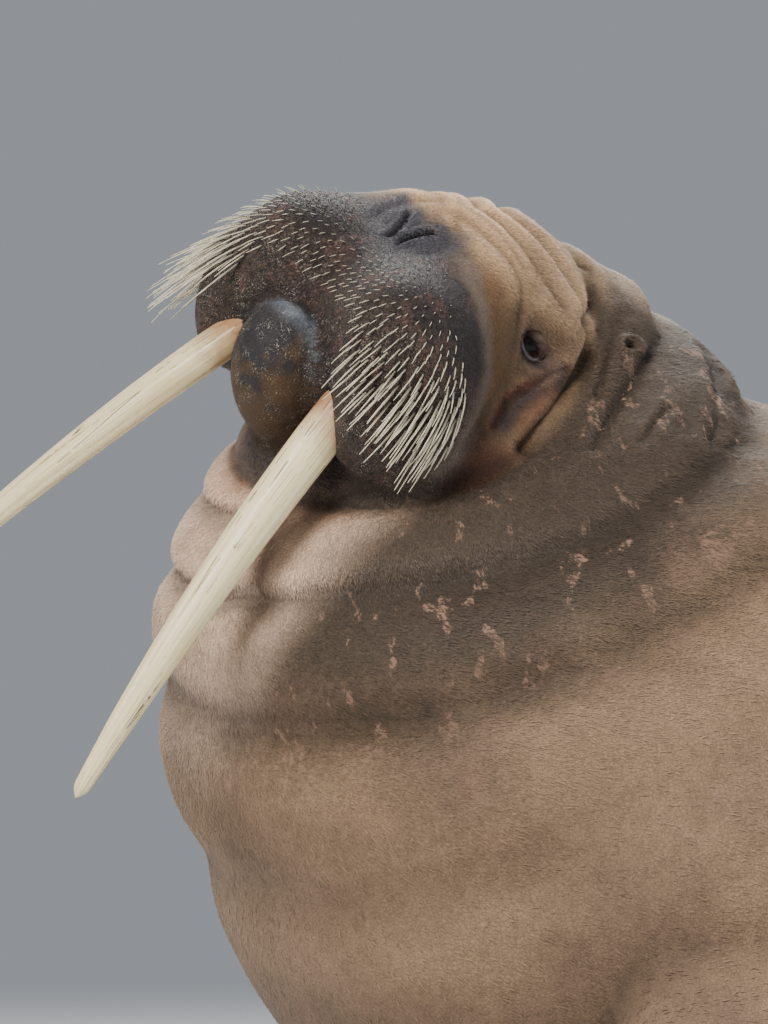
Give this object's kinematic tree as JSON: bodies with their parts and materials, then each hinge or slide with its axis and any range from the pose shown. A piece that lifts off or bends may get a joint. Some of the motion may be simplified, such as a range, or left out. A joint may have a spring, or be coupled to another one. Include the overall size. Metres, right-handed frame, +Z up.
{
  "type": "walrus figure",
  "caption": "Life-size walrus bull lying on its belly with its head raised, turned and tipped back, long tusks forward and whiskers on both pads.",
  "frame": {"origin": "middle of the rectangle on the floor that the whole animal covers", "axes": "+Y towards the tail, -Y the way the body faces, +X its left side, +Z up"},
  "size_m": [1.4304, 3.1768, 0.972],
  "materials": {
    "skin": "matt, wrinkled hide under short hair",
    "muzzle": "dark bare skin with stiff whiskers",
    "ivory": "satin tooth, cracked lengthways",
    "eye": "wet and glossy"
  },
  "bodies": {
    "root": {"head": "skin", "whisker_pad_left": "muzzle", "whisker_pad_right": "muzzle", "lower_jaw": "muzzle", "tusk_left": "ivory", "tusk_right": "ivory", "eye_left": "eye", "eye_right": "eye", "neck": "skin", "chest": "skin", "torso": "skin", "hips": "skin", "tail": "skin", "forearm_left": "skin", "forearm_right": "skin", "fore_flipper_left": "skin", "fore_flipper_right": "skin", "hind_flipper_left": "skin", "hind_flipper_right": "skin"}
  },
  "joints": []
}
